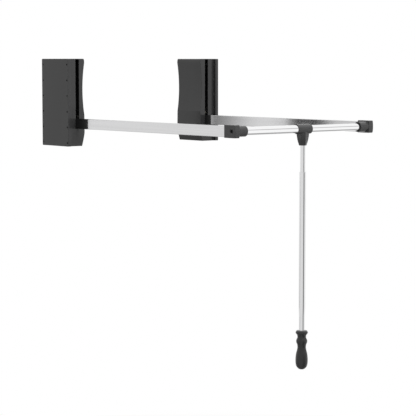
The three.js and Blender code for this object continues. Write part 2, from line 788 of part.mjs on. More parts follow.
// The turned grip at the foot of the pole, with the socket for the tube
function grip() {
  const outline = gripOutlineShares.map(([down, wide]) => [
    wide * gripDiameter / 2, -gripDrop - down * gripLength]);
  const low = -gripDrop - gripLength;
  const socket = poleFootDiameter / 2 + seatGap;
  const floor = -gripDrop - gripSocketDepth;
  return spun([[0, low], ...outline.reverse(), [socket, -gripDrop], [socket, floor], [0, floor]])
    .translate(middle, 0, 0);
}

// A left hand piece turned into its right hand twin
function mirrored(geometry) {
  const twin = geometry.index ? geometry.clone() : mergeVertices(geometry);
  twin.scale(-1, 1, 1);
  const order = twin.index.array;
  for (let at = 0; at < order.length; at += 3) {
    [order[at], order[at + 1]] = [order[at + 1], order[at]];
  }
  return twin;
}

function mesh(name, geometry, finish) {
  const piece = new THREE.Mesh(geometry, new THREE.MeshStandardMaterial(finishes[finish]));
  piece.name = name;
  return piece;
}

// One housing with its mechanism and arm, as the left one stands on its wall
function sidePieces(tubeDiameter) {
  return [
    ['wall_plate', wallPlate(), 'blackPlastic'],
    ['cover', cover(), 'blackPlastic'],
    ['chassis', chassis(), 'steel'],
    ['chassis_screw_upper', chassisScrew(screwHeights[0]), 'steel'],
    ['chassis_screw_lower', chassisScrew(screwHeights[1]), 'steel'],
    ['pivot_pin', pivotPin(), 'steel'],
    ['pivot_clip', pivotClip(), 'steel'],
    ['pivot_spacer', pivotSpacer(), 'steel'],
    ['pivot_bush', pivotBush(), 'bushPlastic'],
    ['arm_lever', armLever(), 'blackSteel'],
    ['crank_pin', crankPin(), 'steel'],
    ['arm_rivet_upper', rivet(1), 'steel'],
    ['arm_rivet_lower', rivet(-1), 'steel'],
    ['arm_bar', armBar(), 'aluminium'],
    ['end_block', endBlock(tubeDiameter), 'blackPlastic'],
    ['block_screw', blockScrew(), 'blackSteel'],
    ['tube_plug', tubePlug(tubeDiameter), 'bushPlastic'],
    ['spring_carriage', carriage(), 'bushPlastic'],
    ['guide_rod', guideRod(), 'steel'],
    ['lift_spring', liftSpring(), 'steel'],
    ['damper_body', damperBody(), 'blackSteel'],
    ['damper_rod', damperRod(), 'steel'],
    ['lowered_bumper', lowBumper(), 'rubber'],
    ['raised_bumper', highBumper(), 'rubber'],
  ];
}

const leftSide = new THREE.Group();
for (const [name, geometry, finish] of sidePieces(outerTubeDiameter)) {
  leftSide.add(mesh(`left_${name}`, geometry, finish));
}

const rightSide = new THREE.Group();
rightSide.position.x = railWidth;
for (const [name, geometry, finish] of sidePieces(innerTubeDiameter)) {
  rightSide.add(mesh(`right_${name}`, mirrored(geometry), finish));
}

const rodGroup = new THREE.Group();
rodGroup.position.set(0, -armReach, blockRise);
rodGroup.add(
  mesh('outer_tube', tube(outerTubeDiameter, tubeStart, middle + outerTubePastMiddle), 'chrome'),
  mesh('inner_tube', tube(innerTubeDiameter, middle + outerTubePastMiddle - innerTubeOverlap,
    railWidth - tubeStart), 'chrome'),
  mesh('tube_end_bush', endBush(), 'blackPlastic'),
  mesh('pull_tee', tee(), 'blackPlastic'),
  mesh('pole_rod', poleRod(), 'chrome'),
  mesh('pole_tube', poleTube(), 'chrome'),
  mesh('pole_grip', grip(), 'blackPlastic'),
);

const closetRod = new THREE.Group();
closetRod.add(leftSide, rightSide, rodGroup);

export default closetRod;
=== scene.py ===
"""Pull down closet rod: finishes and visible pieces built round the packed frame."""

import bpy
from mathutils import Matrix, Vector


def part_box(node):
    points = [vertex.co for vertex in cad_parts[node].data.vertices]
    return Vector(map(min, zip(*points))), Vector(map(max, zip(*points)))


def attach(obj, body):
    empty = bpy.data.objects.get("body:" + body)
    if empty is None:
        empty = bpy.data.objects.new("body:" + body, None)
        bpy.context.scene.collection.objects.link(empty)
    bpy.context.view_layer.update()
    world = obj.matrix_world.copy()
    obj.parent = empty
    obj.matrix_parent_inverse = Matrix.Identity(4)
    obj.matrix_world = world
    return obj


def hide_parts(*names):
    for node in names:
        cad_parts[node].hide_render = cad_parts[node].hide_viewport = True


bl_info = {
    "name": "Pull Down Closet Rod",
    "version": (1, 0, 0),
    "blender": (4, 5, 0),
    "location": "View3D > Sidebar > Closet Rod",
    "description": "Builds the visible pieces, finishes and studio of a pull down closet rod",
    "category": "Add Mesh",
}

from math import asin, cos, pi, radians, sin

import bmesh
import bpy
from mathutils import Matrix, Vector

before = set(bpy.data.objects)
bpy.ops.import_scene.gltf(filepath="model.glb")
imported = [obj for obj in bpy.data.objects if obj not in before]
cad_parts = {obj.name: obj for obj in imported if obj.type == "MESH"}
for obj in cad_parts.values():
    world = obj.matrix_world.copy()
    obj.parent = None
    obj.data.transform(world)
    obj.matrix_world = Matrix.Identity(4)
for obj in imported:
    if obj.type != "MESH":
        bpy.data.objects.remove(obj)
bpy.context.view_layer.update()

MM = 0.001
SIDES = ("left", "right")
PLATE, COVER, LEVER, BAR, BLOCK, SCREW = (
    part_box(f"left_{node}")
    for node in ("wall_plate", "cover", "arm_lever", "arm_bar", "end_block", "block_screw")
)
OUTER_TUBE, INNER_TUBE, TEE, POLE_ROD, POLE_TUBE, GRIP = (
    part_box(node)
    for node in ("outer_tube", "inner_tube", "pull_tee", "pole_rod", "pole_tube", "pole_grip")
)
RAIL_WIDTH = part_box("right_wall_plate")[1].x
ROD_Y = (OUTER_TUBE[0].y + OUTER_TUBE[1].y) / 2
ROD_Z = (OUTER_TUBE[0].z + OUTER_TUBE[1].z) / 2
MIDDLE = (POLE_ROD[0].x + POLE_ROD[1].x) / 2
ARM_X = (BAR[0].x + BAR[1].x) / 2
LEVER_HALF = BAR[1].z
THIN_RADIUS = (POLE_ROD[1].x - POLE_ROD[0].x) / 2
ROD_LINE = (0, ROD_Y, ROD_Z)
POLE_LINE = (MIDDLE, ROD_Y, 0)
SLIP = 0.3 * MM
OVER = MM
CRANK_RADIUS = 25 * MM
CRANK_EYE = 8 * MM
CRANK_PIN = 17.678 * MM
RIVET_Y = -29.3 * MM
RIVET_Z = 7 * MM
BODIES = {"housing": ("left_housing", "right_housing"), "arm": ("swing_frame", "right_arm")}


# Sizes and colours


def number(name, description, default, **settings):
    return bpy.props.FloatProperty(name=name, description=description, default=default, **settings)


def three(name, description, default, **settings):
    return bpy.props.FloatVectorProperty(
        name=name, description=description, default=default, size=3, **settings
    )


def length(*words):
    return number(*words, min=0.0, precision=5, subtype="DISTANCE", unit="LENGTH")


def share(*words):
    return number(*words, min=0.0, max=1.0, subtype="FACTOR")


def colour(*words):
    return three(*words, min=0.0, max=1.0, subtype="COLOR")


class HousingSizes(bpy.types.PropertyGroup):
    """Sizes of the wall plates and covers"""

    plate_corner: length("Plate corner", "Radius of the wall plate's four corners", 3 * MM)
    plate_edge: length("Plate edge", "Rounding along the wall plate's edges", 0.7 * MM)
    plate_floor: length("Plate floor", "Thickness left under the plate's pocket", 4 * MM)
    hole_diameter: length("Screw hole", "Diameter of the holes in the wall plate", 5.2 * MM)
    sink_diameter: length("Countersink", "Diameter of the countersink on the room side", 7.6 * MM)
    cover_wall: length("Cover wall", "Wall thickness of the cover", 2.5 * MM)
    cover_round: length("Cover rounding", "Radius round the cover's front and back edges", 0.9 * MM)
    waist_depth: length("Waist depth", "How far the cover's waist draws in", 6.7 * MM)
    waist_top: length("Waist top margin", "Height of the cover above its waist", 12 * MM)
    waist_foot: length("Waist foot margin", "Height of the cover below its waist", 85.7 * MM)
    slot_edge: length("Slot edge", "Rounding along the edges of the arm slot", 0.45 * MM)


class ArmSizes(bpy.types.PropertyGroup):
    """Sizes of the levers, bars and end blocks"""

    bar_corner: length("Bar corner", "Radius of the bar's four long edges", 1.3 * MM)
    bar_wall: length("Bar wall", "Wall thickness of the hollow bar", 1.5 * MM)
    lever_edge: length("Lever edge", "Rounding along the lever's edges", 0.35 * MM)
    block_edge: length("Block edge", "Rounding along the end block's edges", 1.1 * MM)
    block_nose: length("Block nose", "How far the block's front bulges", 1.9 * MM)
    screw_recess: length("Screw recess", "Depth of the hole that the block screw sits in", 5.5 * MM)
    recess_dish: length("Recess dish", "Width of the dished rim round the screw recess", 2.2 * MM)
    socket_flare: length("Socket flare", "Fillet where the socket meets the block", 1.2 * MM)
    screw_cross: length("Screw cross", "Length of the recess in the block screw", 5.4 * MM)


class RodSizes(bpy.types.PropertyGroup):
    """Sizes of the telescopic rod, the tee, the pole and the grip"""

    tube_wall: length("Tube wall", "Wall thickness of the rod's tubes", 1.1 * MM)
    tube_lip: length("Tube lip", "Rounding at the mouth of the outer tube", 0.4 * MM)
    ridge_round: length("Ridge rounding", "Rounding along the tee's ridges", 0.5 * MM)
    collar_round: length("Collar rounding", "Rounding at the ends of the tee's collar", 1.0 * MM)
    stem_depth: length("Stem depth", "Depth of the tee's stem over its two ridges", 21.5 * MM)
    foot_width: length("Foot width", "Width of the tee's stem at its foot", 19.4 * MM)
    pole_wall: length("Pole wall", "Wall thickness of the pole's tube", 1.7 * MM)
    pole_inset: length("Pole inset", "How far the pole's tube is drawn in at its foot", 1.1 * MM)


class FinishColours(bpy.types.PropertyGroup):
    """Colours and gloss of the finishes"""

    housing: colour("Housing plastic", "Black of the moulded housings", (0.043, 0.043, 0.0434))
    fitting: colour("Fitting plastic", "Black of the blocks and the tee", (0.052, 0.052, 0.0525))
    grip: colour("Grip plastic", "Black of the grip", (0.02, 0.02, 0.02))
    lever: colour("Lever coating", "Black coating of the arm levers", (0.023, 0.023, 0.0232))
    bar: colour("Bar aluminium", "Anodised aluminium of the arm bars", (0.665, 0.665, 0.67))
    chrome: colour("Rod chrome", "Chrome plate of the rod", (0.93, 0.93, 0.935))
    pole: colour("Pole chrome", "Plating of the pull pole", (0.8, 0.8, 0.805))
    # The zinc colour is darker than real bright zinc: painted shade that keeps the mechanism dark
    # and free of glints inside the slots
    zinc: colour("Zinc steel", "Zinc plated steel of the mechanism", (0.24, 0.243, 0.25))
    bush: colour("Bearing plastic", "Natural plastic of bushes and carriages", (0.62, 0.59, 0.5))
    rubber: colour("Bumper rubber", "Black rubber of the bumpers", (0.012, 0.012, 0.012))
    housing_roughness: share("Housing roughness", "Roughness of the housing plastic", 0.16)


class StudioSettings(bpy.types.PropertyGroup):
    """Camera, floor and light"""

    focal: number(
        "Focal length", "Focal length of the camera on a 36 mm wide sensor, in millimetres",
        136.486, unit="CAMERA",
    )
    camera_place: three(
        "Camera place", "Where the camera stands", (-2.5764, -3.7477, 0.1802),
        subtype="TRANSLATION", unit="LENGTH",
    )
    camera_turn: number(
        "Camera azimuth", "Direction of view, turned from the back towards the right",
        radians(39.858), subtype="ANGLE", unit="ROTATION",
    )
    camera_pitch: number(
        "Camera pitch", "How far the camera looks down", radians(5.342),
        subtype="ANGLE", unit="ROTATION",
    )
    floor_drop: length("Floor drop", "Depth of the floor below the arm pivots", 1.35)
    floor_radius: length("Floor radius", "Radius of the floor", 2.6)
    soft_light: share("Soft light", "Brightness of the even light from all round", 0.22)


# Mesh helpers


def bmesh_of(piece):
    bm = bmesh.new()
    bm.from_mesh(piece.data)
    return bm


def store(bm, piece):
    bm.normal_update()
    bm.to_mesh(piece.data)
    bm.free()


def object_from(bm, name):
    """A linked object at the origin that takes over a bmesh"""
    piece = bpy.data.objects.new(name, bpy.data.meshes.new(name))
    bpy.context.scene.collection.objects.link(piece)
    store(bm, piece)
    return piece


def clean_mesh(bm):
    """Merges doubles, dissolves loose ends and turns the normals out"""
    bmesh.ops.remove_doubles(bm, verts=bm.verts, dist=0.002 * MM)
    bmesh.ops.dissolve_degenerate(bm, edges=bm.edges, dist=0.001 * MM)
    bmesh.ops.recalc_face_normals(bm, faces=bm.faces)
    if bm.calc_volume(signed=True) < 0:
        bmesh.ops.reverse_faces(bm, faces=bm.faces)


def modify(piece, kind, **settings):
    modifier = piece.modifiers.new(kind.lower(), kind)
    for name, value in settings.items():
        setattr(modifier, name, value)


def apply_modifiers(piece):
    bpy.context.view_layer.update()
    depsgraph = bpy.context.evaluated_depsgraph_get()
    mesh = bpy.data.meshes.new_from_object(piece.evaluated_get(depsgraph))
    piece.modifiers.clear()
    old = piece.data
    piece.data = mesh
    bpy.data.meshes.remove(old)


def combine(piece, tools, operation="DIFFERENCE"):
    """Cuts tool objects out of a piece or joins them to it, and removes them"""
    for tool in tools:
        modify(piece, "BOOLEAN", operation=operation, solver="EXACT", object=tool)
    apply_modifiers(piece)
    for mesh in [tool.data for tool in tools]:
        bpy.data.meshes.remove(mesh)
    bm = bmesh_of(piece)
    clean_mesh(bm)
    store(bm, piece)


def round_edges(bm, edges, width, segments):
    bmesh.ops.bevel(
        bm, geom=edges, offset=width, affect="EDGES", segments=segments,
        profile=0.5, material=-1, clamp_overlap=True,
    )


def bevel_sharp_edges(piece, width, degrees, segments):
    """Rounds every edge sharper than an angle"""
    modify(
        piece, "BEVEL", width=width, segments=segments, limit_method="ANGLE",
        angle_limit=radians(degrees), profile=0.5, miter_outer="MITER_ARC",
    )
    apply_modifiers(piece)


def block(low, high, name="tool", corner=0.0, axis=0, segments=4):
    """A box, with its four edges along one axis rounded if a corner radius is given"""
    bm = bmesh.new()
    bmesh.ops.create_cube(bm, size=1)
    low, high = Vector(low), Vector(high)
    bmesh.ops.scale(bm, vec=high - low, verts=bm.verts)
    bmesh.ops.translate(bm, vec=(low + high) / 2, verts=bm.verts)
    if corner:
        runs = [(edge, edge.verts[1].co - edge.verts[0].co) for edge in bm.edges]
        along = [edge for edge, run in runs if abs(run[axis]) > 0.99 * run.length]
        round_edges(bm, along, corner, segments)
    return object_from(bm, name)


def turned(profile, steps, centre, axis="X", name="tool"):
    """A profile of (radius, height) points spun once round an axis"""
    bm = bmesh.new()
    along, out = Vector((1, 0, 0)), Vector((0, 0, 1))
    if axis == "Z":
        along, out = out, along
    middle = Vector(centre)
    verts = [bm.verts.new(middle + out * radius + along * height) for radius, height in profile]
    edges = [bm.edges.new(pair) for pair in zip(verts, verts[1:])]
    bmesh.ops.spin(
        bm, geom=verts + edges, cent=middle, axis=along, angle=2 * pi, steps=steps,
        use_merge=True,
    )
    clean_mesh(bm)
    return object_from(bm, name)


def filled(profile):
    """A profile of (radius, height) points closed at both ends by flat faces"""
    return [(0, profile[0][1])] + profile + [(0, profile[-1][1])]


def drill(radius, low, high, y, z, steps):
    """A round cutter along X"""
    return turned(filled([(radius, low), (radius, high)]), steps, (0, y, z))


def loft(levels, name):
    """A closed skin through loops of points that lie one after another"""
    bm = bmesh.new()
    loops = []
    for level in levels:
        verts = [bm.verts.new(point) for point in level]
        loops.append([bm.edges.new((verts[at - 1], verts[at])) for at in range(len(verts))])
    for first, second in zip(loops, loops[1:]):
        bmesh.ops.bridge_loops(bm, edges=first + second)
    for end in (loops[0], loops[-1]):
        bmesh.ops.contextual_create(bm, geom=end)
    clean_mesh(bm)
    return object_from(bm, name)


def slab(outline, low, high, name):
    """An outline in y and z pulled along X"""
    return loft([[(x, y, z) for y, z in outline] for x in (low, high)], name)


def mirror(piece):
    """Makes a left hand piece its right hand twin"""
    bm = bmesh_of(piece)
    bmesh.ops.scale(bm, vec=(-1, 1, 1), verts=bm.verts)
    bmesh.ops.translate(bm, vec=(RAIL_WIDTH, 0, 0), verts=bm.verts)
    clean_mesh(bm)
    store(bm, piece)


def shade(piece):
    """Smooth shading with sharp creases, wide faces kept flat"""
    piece.data.shade_smooth()
    piece.data.set_sharp_from_angle(angle=radians(30))
    modify(piece, "WEIGHTED_NORMAL", weight=100, keep_sharp=True)
    apply_modifiers(piece)


def place(piece, body, slot, node):
    """Gives a finished piece its material and its body, and hides the CAD node that it stands for
    """
    if not piece.data.polygons:
        raise RuntimeError(f"{piece.name} came out empty")
    piece.data.materials.clear()
    piece.data.materials.append(finish_for(slot))
    shade(piece)
    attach(piece, body)
    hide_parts(node)


def place_both(piece, part, slot, node):
    """Places a left hand piece and its mirrored twin"""
    twin = object_from(bmesh_of(piece), f"right_{node}_skin")
    mirror(twin)
    for skin, side, body in zip((piece, twin), SIDES, BODIES[part]):
        place(skin, body, slot, f"{side}_{node}")


# Material helpers


class Nodes:
    """The node tree of a material or of the world"""

    def __init__(self, owner):
        owner.use_nodes = True
        self.tree = owner.node_tree
        self.tree.nodes.clear()

    def feed(self, socket, value):
        """Links an output of another node to a socket, or sets the socket's own value"""
        if isinstance(value, bpy.types.NodeSocket):
            self.tree.links.new(value, socket)
        else:
            socket.default_value = value

    def node(self, kind, *inputs, **settings):
        """A new node, with what its first sockets, its named ones or the node itself get"""
        node = self.tree.nodes.new("ShaderNode" + kind)
        for socket, value in zip(node.inputs, inputs):
            self.feed(socket, value)
        for name, value in settings.items():
            socket = node.inputs.get(name.replace("_", " "))
            if socket is None:
                setattr(node, name, value)
            else:
                self.feed(socket, value)
        return node

    def math(self, operation, first, second):
        return self.node("Math", first, second, operation=operation).outputs[0]

    def spread(self, source, low, high, from_low=0.3, from_high=0.7, **settings):
        """A source mapped on a range of values"""
        return self.node(
            "MapRange", source, from_low, from_high, low, high, **settings
        ).outputs["Result"]

    def mixed_shader(self, factor, first, second):
        return self.node("MixShader", factor, first, second).outputs[0]


class Finish(Nodes):
    """A material being built: a Principled shader with object coordinates"""

    def __init__(self, name, **sockets):
        self.material = bpy.data.materials.new(name)
        super().__init__(self.material)
        self.shader = self.node("BsdfPrincipled", **sockets)
        self.output = self.node("OutputMaterial", self.shader.outputs[0])
        self.place = self.node("TexCoord").outputs["Object"]

    def noise(self, scale, detail=3.0, roughness=0.5, stretch=(1, 1, 1)):
        mapping = self.node("Mapping", Vector=self.place, Scale=stretch)
        return self.node(
            "TexNoise", Vector=mapping.outputs[0], Scale=scale, Detail=detail,
            Roughness=roughness,
        ).outputs["Fac"]

    def mixed(self, factor, first, second):
        """Two colours mixed by a factor"""
        mix = self.node("Mix", factor, data_type="RGBA")
        self.feed(mix.inputs[6], first)
        self.feed(mix.inputs[7], second)
        return mix.outputs[2]

    def cloudy(self, source, rgb, darkest, lightest):
        """A colour that a source makes darker and lighter"""
        return self.mixed(self.spread(source, 0, 1), scaled(rgb, darkest), scaled(rgb, lightest))

    def bump(self, height, distance, strength=1.0, **under):
        bump = self.node("Bump", Height=height, Distance=distance, Strength=strength, **under)
        return bump.outputs["Normal"]

    def worn_edges(self, radius, low, high, patches):
        """A patchy mask along edges, from a rounded normal set against the true one"""
        rounded = self.node("Bevel", samples=4, Radius=radius).outputs[0]
        true = self.node("NewGeometry").outputs["Normal"]
        dot = self.node("VectorMath", rounded, true, operation="DOT_PRODUCT")
        edge = self.spread(dot.outputs["Value"], 1.0, 0.0, low, high)
        return self.math("MULTIPLY", edge, patches)

    def made_of(self, colour, roughness, normal):
        """The material, with what gives its colour, roughness and bump linked up"""
        sockets = self.shader.inputs
        self.feed(sockets["Base Color"], colour)
        self.feed(sockets["Roughness"], roughness)
        self.feed(sockets["Normal"], normal)
        return self.material


def scaled(rgb, factor):
    """A colour made darker or lighter, with its alpha"""
    return (*(min(1.0, value * factor) for value in rgb), 1)


def moulded_plastic(name, rgb, roughness, gleam, wear):
    """Black moulded plastic: a fine grain, slight flow marks and faintly rubbed edges"""
    finish = Finish(name, Metallic=0.0, IOR=1.49, Specular_IOR_Level=gleam)
    edge = finish.worn_edges(0.9 * MM, 0.86, 0.995, finish.noise(160.0, 4.0))
    base = finish.cloudy(finish.noise(9.0, 4.0, 0.55, (1, 1, 0.35)), rgb, 0.86, 1.15)
    return finish.made_of(
        finish.mixed(edge, base, scaled(rgb, 1 + wear)),
        finish.spread(finish.noise(23.0, 5.0, 0.6), roughness * 0.82, roughness * 1.25),
        finish.bump(finish.noise(1400.0, 2.0), 0.012 * MM),
    )


def textured_grip_plastic(name, rgb):
    """Matt grip plastic with a fine spark eroded texture and handling shine"""
    finish = Finish(name, Metallic=0.0, IOR=1.5)
    pebble = finish.node("TexVoronoi", Vector=finish.place, Scale=1100.0)
    coarse = finish.bump(finish.noise(210.0, 4.0, 0.6), 0.12 * MM, 0.7)
    return finish.made_of(
        finish.cloudy(finish.noise(60.0, 5.0, 0.6, (1, 1, 0.4)), rgb, 0.75, 1.5),
        finish.spread(finish.noise(38.0, 4.0), 0.3, 0.44),
        finish.bump(pebble.outputs["Distance"], 0.05 * MM, 0.8, Normal=coarse),
    )


def coated_steel(name, rgb):
    """Black powder coat on steel: orange peel and a few bare rubs on its edges"""
    finish = Finish(name, Metallic=0.0, IOR=1.5, Specular_IOR_Level=0.34)
    edge = finish.worn_edges(0.5 * MM, 0.8, 0.99, finish.noise(300.0, 5.0))
    return finish.made_of(
        finish.mixed(finish.spread(edge, 0, 1, 0.42, 0.75), scaled(rgb, 1), (0.06, 0.06, 0.062, 1)),
        finish.spread(finish.noise(40.0, 3.0), 0.3, 0.42),
        finish.bump(finish.noise(520.0, 2.0), 0.04 * MM, 0.6),
    )


def drawn_aluminium(name, rgb):
    """Satin anodised aluminium with die lines along the bar"""
    finish = Finish(name, Metallic=1.0)
    lines = finish.noise(1.0, 2.0, 0.4, (2600, 5, 2600))
    stain = finish.noise(14.0, 5.0, 0.6)
    return finish.made_of(
        finish.cloudy(finish.noise(1.0, 3.0, 0.5, (240, 3, 240)), rgb, 0.965, 1.03),
        finish.math("ADD", finish.spread(lines, -0.02, 0.02), finish.spread(stain, 0.12, 0.16)),
        finish.bump(lines, 0.006 * MM, 0.6),
    )


def bright_plate(name, rgb, low, high, along):
    """Chrome plate with faint polishing marks and a little handling haze"""
    finish = Finish(name, Metallic=1.0)
    haze = finish.noise(17.0, 5.0, 0.65)
    return finish.made_of(
        finish.cloudy(haze, rgb, 0.985, 1),
        finish.spread(haze, low, high),
        finish.bump(finish.noise(1.0, 2.0, 0.5, along), 0.002 * MM, 0.35),
    )


def zinc_plate(name, rgb):
    """Zinc on pressed steel, a little cloudy, its colour kept dark as painted shade so the
    mechanism stays dark inside the slots
    """
    finish = Finish(name, Metallic=1.0)
    return finish.made_of(
        finish.cloudy(finish.noise(70.0, 5.0, 0.65), rgb, 0.82, 1.1),
        finish.spread(finish.noise(190.0, 4.0), 0.34, 0.5),
        finish.bump(finish.noise(650.0, 3.0), 0.02 * MM, 0.6),
    )


def plain_moulding(name, rgb, low, high):
    """Uncoloured bearing plastic or rubber with a dull skin"""
    finish = Finish(name, Metallic=0.0, IOR=1.5)
    cloud = finish.noise(55.0, 4.0)
    return finish.made_of(
        finish.cloudy(cloud, rgb, 0.88, 1.08),
        finish.spread(cloud, low, high),
        finish.bump(finish.noise(900.0, 2.0), 0.03 * MM, 0.6),
    )


# What builds each slot's material, and its values, where a word names a setting
FINISHES = {
    "housing_plastic": (moulded_plastic, "housing", "housing_roughness", 0.4, 0.7),
    "fitting_plastic": (moulded_plastic, "fitting", 0.27, 0.5, 1.4),
    "grip_plastic": (textured_grip_plastic, "grip"),
    "black_steel": (coated_steel, "lever"),
    "bar_aluminium": (drawn_aluminium, "bar"),
    "rod_chrome": (bright_plate, "chrome", 0.035, 0.07, (4, 900, 900)),
    "pole_chrome": (bright_plate, "pole", 0.06, 0.11, (900, 900, 4)),
    "zinc_steel": (zinc_plate, "zinc"),
    "bush_plastic": (plain_moulding, "bush", 0.42, 0.58),
    "bumper_rubber": (plain_moulding, "rubber", 0.72, 0.9),
}


def finish_for(slot):
    """The material of a slot, built once"""
    name = f"{slot}_finish"
    if name in bpy.data.materials:
        return bpy.data.materials[name]
    settings = bpy.context.scene.closet_finishes
    build, *values = FINISHES[slot]
    return build(
        name, *(getattr(settings, value) if isinstance(value, str) else value for value in values)
    )


# Outlines


def quarter_turn(steps):
    """Cosine and sine at even steps of a quarter turn, its two ends among them"""
    turns = [step / steps * pi / 2 for step in range(steps + 1)]
    return [(cos(turn), sin(turn)) for turn in turns]


def arc_points(centre, radius, start, end, steps):
    """Points along an arc, its two ends among them"""
    x, y = centre
    turns = [start + (end - start) * step / steps for step in range(steps + 1)]
    return [(x + radius * cos(turn), y + radius * sin(turn)) for turn in turns]


def curve_points(start, control, end, steps):
    """Points along a quadratic curve after its start"""
    return [
        tuple(
            a * (1 - t) ** 2 + b * 2 * t * (1 - t) + c * t ** 2
            for a, b, c in zip(start, control, end)
        )
        for t in (step / steps for step in range(1, steps + 1))
    ]


def rounded_profile(points, radius):
    """Rounds the marked corners of an open profile: points are (radius, height, marked)"""
    result = []
    for at, (x, y, marked) in enumerate(points):
        if not marked:
            result.append((x, y))
            continue
        here = Vector((x, y))
        before = Vector(points[at - 1][:2]) - here
        after = Vector(points[at + 1][:2]) - here
        reach = min(radius, before.length / 2, after.length / 2)
        start = here + before.normalized() * reach
        end = here + after.normalized() * reach
        result += [tuple(start)] + curve_points(start, here, end, 4)
    return result


def pin_profile(radius, low, high, rounding):
    """A solid pin with rounded ends"""
    return rounded_profile(
        [(0, low, 0), (radius, low, 1), (radius, high, 1), (0, high, 0)], rounding
    )


def cover_outline(inset, foot_x):
    """The waisted outline of the cover in x and z, drawn in by an inset"""
    sizes = bpy.context.scene.closet_housing
    top, bottom = COVER[1].z, COVER[0].z
    reach = COVER[1].x - inset
    high, low = top - inset, bottom + inset
    half_span = (top - bottom - sizes.waist_top - sizes.waist_foot) / 2
    radius = (half_span ** 2 + sizes.waist_depth ** 2) / (2 * sizes.waist_depth)
    half = asin(half_span / radius)
    centre = (reach - sizes.waist_depth + radius, top - sizes.waist_top - half_span)
    chin_top = bottom + 41 * MM
    chin_depth = 9.2 * MM
    points = [(foot_x, low), (reach - chin_depth, low)]
    points += curve_points(points[-1], (reach, chin_top - 9 * MM), (reach, chin_top), 14)
    points += arc_points(centre, radius, pi + half, pi - half, 44)[1:]
    points += curve_points(points[-1], (reach, high), (reach - 4 * MM, high), 8)
    return points + [(foot_x, high)]


def cover_skin(inset, foot_x, front, back, rounding, name, segments=6):
    """The cover's outline pulled from front to back, its two ends rounded down"""
    levels = []
    for end, sign in ((front, 1), (back, -1)):
        rims = []
        for across, up in quarter_turn(segments):
            y = end + sign * rounding * (1 - across)
            outline = cover_outline(inset + rounding * (1 - up), foot_x)
            rims.append([(x, y, z) for x, z in outline])
        levels += rims[::sign]
    return loft(levels, name)


def lever_outline():
    """Boss and crank arm of the lever in y and z"""
    lean = pi / 2 - asin((LEVER_HALF - CRANK_EYE) / CRANK_RADIUS)
    start, end = pi / 4 - lean, pi / 4 + lean
    eye = CRANK_RADIUS * cos(pi / 4)
    return (
        arc_points((eye, eye), CRANK_EYE, start, end, 16)
        + arc_points((0, 0), LEVER_HALF, end, start + 2 * pi, 32)
    )


def block_outline():
    """The end block in y and z, with its bulging nose"""
    low, high = BLOCK[0].z, BLOCK[1].z
    back, nose = BLOCK[1].y, BLOCK[0].y
    bulge = bpy.context.scene.closet_arms.block_nose
    front = nose + bulge
    shoulder = front - bulge / 4
    corner = 2 * MM
    points = [(back, low), (back, high), (front + corner, high)]
    for control, end, steps in (
        ((front, high), (shoulder, high - corner), 4),
        ((2 * nose - shoulder, ROD_Z), (shoulder, low + corner), 14),
        ((front, low), (front + corner, low), 4),
    ):
        points += curve_points(points[-1], control, end, steps)
    return points


GRIP_OUTLINE_SHARES = [
    (0, 0.84), (0.02, 0.93), (0.05, 1), (0.08, 0.9), (0.11, 0.76), (0.15, 0.7), (0.185, 0.72),
    (0.235, 0.87), (0.275, 0.9), (0.31, 0.86), (0.36, 0.73), (0.43, 0.69), (0.5, 0.76),
    (0.57, 0.88), (0.65, 0.96), (0.74, 1), (0.83, 0.98), (0.89, 0.91), (0.93, 0.79), (0.965, 0.6),
    (0.988, 0.37), (1, 0),
]


def smooth_line(points, steps):
    """A Catmull Rom line through points"""
    ends = [points[0]] + points + [points[-1]]
    result = []
    for at in range(len(points) - 1):
        a, b, c, d = (Vector(p) for p in ends[at : at + 4])
        for step in range(steps):
            t = step / steps
            spot = (
                b * 2 + (c - a) * t + (a * 2 - b * 5 + c * 4 - d) * t ** 2
                + (b * 3 - a - c * 3 + d) * t ** 3
            ) / 2
            result.append(tuple(spot))
    result.append(tuple(points[-1]))
    return result


# The pieces


class CLOSET_OT_wall_plates(bpy.types.Operator):
    """Build the two wall plates with their screw holes and pockets"""

    bl_idname = "closet.wall_plates"
    bl_label = "Wall plates"

    def execute(self, context):
        sizes = context.scene.closet_housing
        low, high = PLATE
        plate = block(low, high, "left_wall_plate_skin", sizes.plate_corner, 0, 6)
        bm = bmesh_of(plate)
        rims = [e for e in bm.edges if abs((e.verts[1].co - e.verts[0].co).x) < MM / 10]
        round_edges(bm, rims, sizes.plate_edge, 2)
        clean_mesh(bm)
        store(bm, plate)
        margin = sizes.cover_wall + 1.5 * MM
        pocket = block(
            (low.x + sizes.plate_floor, COVER[0].y + margin, low.z + margin),
            (high.x + OVER, COVER[1].y - margin, high.z - margin),
            corner=1.5 * MM,
        )
        cutters = [pocket]
        rows = 6
        first_row = high.z - 16.8 * MM
        pitch = (high.z - low.z - 27 * MM) / (rows - 1)
        radius = sizes.hole_diameter / 2
        sink = sizes.sink_diameter / 2
        hole = filled([
            (radius, low.x - OVER), (radius, high.x - (sink - radius)), (sink, high.x),
            (sink, high.x + OVER),
        ])
        for y in (low.y + 4.7 * MM, high.y - 5.5 * MM):
            for row in range(rows):
                cutters.append(turned(hole, 24, (0, y, first_row - row * pitch)))
        for z in (high.z - 45.3 * MM, low.z + 34.7 * MM):
            cutters.append(drill(2.3 * MM, 0.7 * MM, 5 * MM, 66 * MM, z, 24))
        combine(plate, cutters)
        place_both(plate, "housing", "housing_plastic", "wall_plate")
        return {"FINISHED"}


